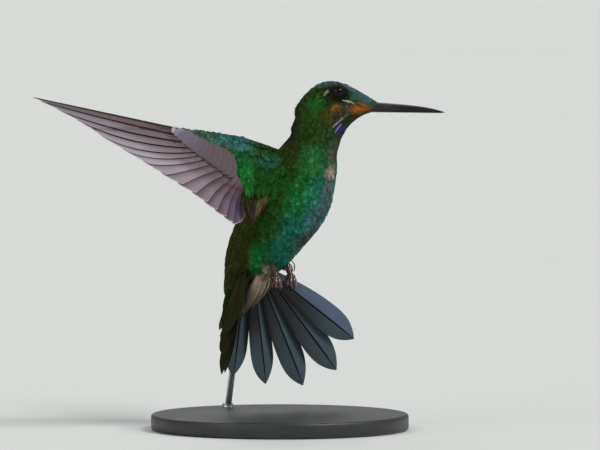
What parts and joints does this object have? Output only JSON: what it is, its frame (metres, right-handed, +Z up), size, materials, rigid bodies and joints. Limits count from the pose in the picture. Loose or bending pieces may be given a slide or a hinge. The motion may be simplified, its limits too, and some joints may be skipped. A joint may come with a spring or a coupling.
{
  "type": "hummingbird",
  "caption": "Life-size hummingbird with green body, forked blue-black tail fanned and wings thrown back, hovering on a round base with a thin rod",
  "frame": {"origin": "middle of the underside of the stand's base, on the floor", "axes": "+X the way the bird's breast faces, +Y its left, +Z up"},
  "size_m": [0.0905, 0.1524, 0.1089],
  "materials": {
    "body_plumage": "glossy green feathers",
    "head_plumage": "dark green feathers, rufous on the cheek",
    "wing_vanes": "thin mauve-grey flight feathers",
    "tail_vanes": "blue-black tail feathers",
    "bill_horn": "black horn",
    "eye_gloss": "black, wet looking",
    "foot_skin": "scaly brown skin",
    "base_paint": "satin charcoal paint",
    "rod_steel": "plain steel rod"
  },
  "bodies": {
    "root": {"trunk": "body_plumage", "neck": "head_plumage", "head": "head_plumage", "eye_left": "eye_gloss", "eye_right": "eye_gloss", "bill_upper": "bill_horn", "bill_lower": "bill_horn", "wing_left_arm": "body_plumage", "wing_right_arm": "body_plumage", "wing_left_primaries": "wing_vanes", "wing_right_primaries": "wing_vanes", "wing_left_secondaries": "wing_vanes", "wing_right_secondaries": "wing_vanes", "tail_feather_left_1": "tail_vanes", "tail_feather_left_2": "tail_vanes", "tail_feather_left_3": "tail_vanes", "tail_feather_left_4": "tail_vanes", "tail_feather_left_5": "tail_vanes", "tail_feather_right_1": "tail_vanes", "tail_feather_right_2": "tail_vanes", "tail_feather_right_3": "tail_vanes", "tail_feather_right_4": "tail_vanes", "tail_feather_right_5": "tail_vanes", "leg_left": "foot_skin", "leg_right": "foot_skin", "foot_left": "foot_skin", "foot_right": "foot_skin", "stand_base": "base_paint", "stand_rod": "rod_steel"}
  },
  "joints": []
}
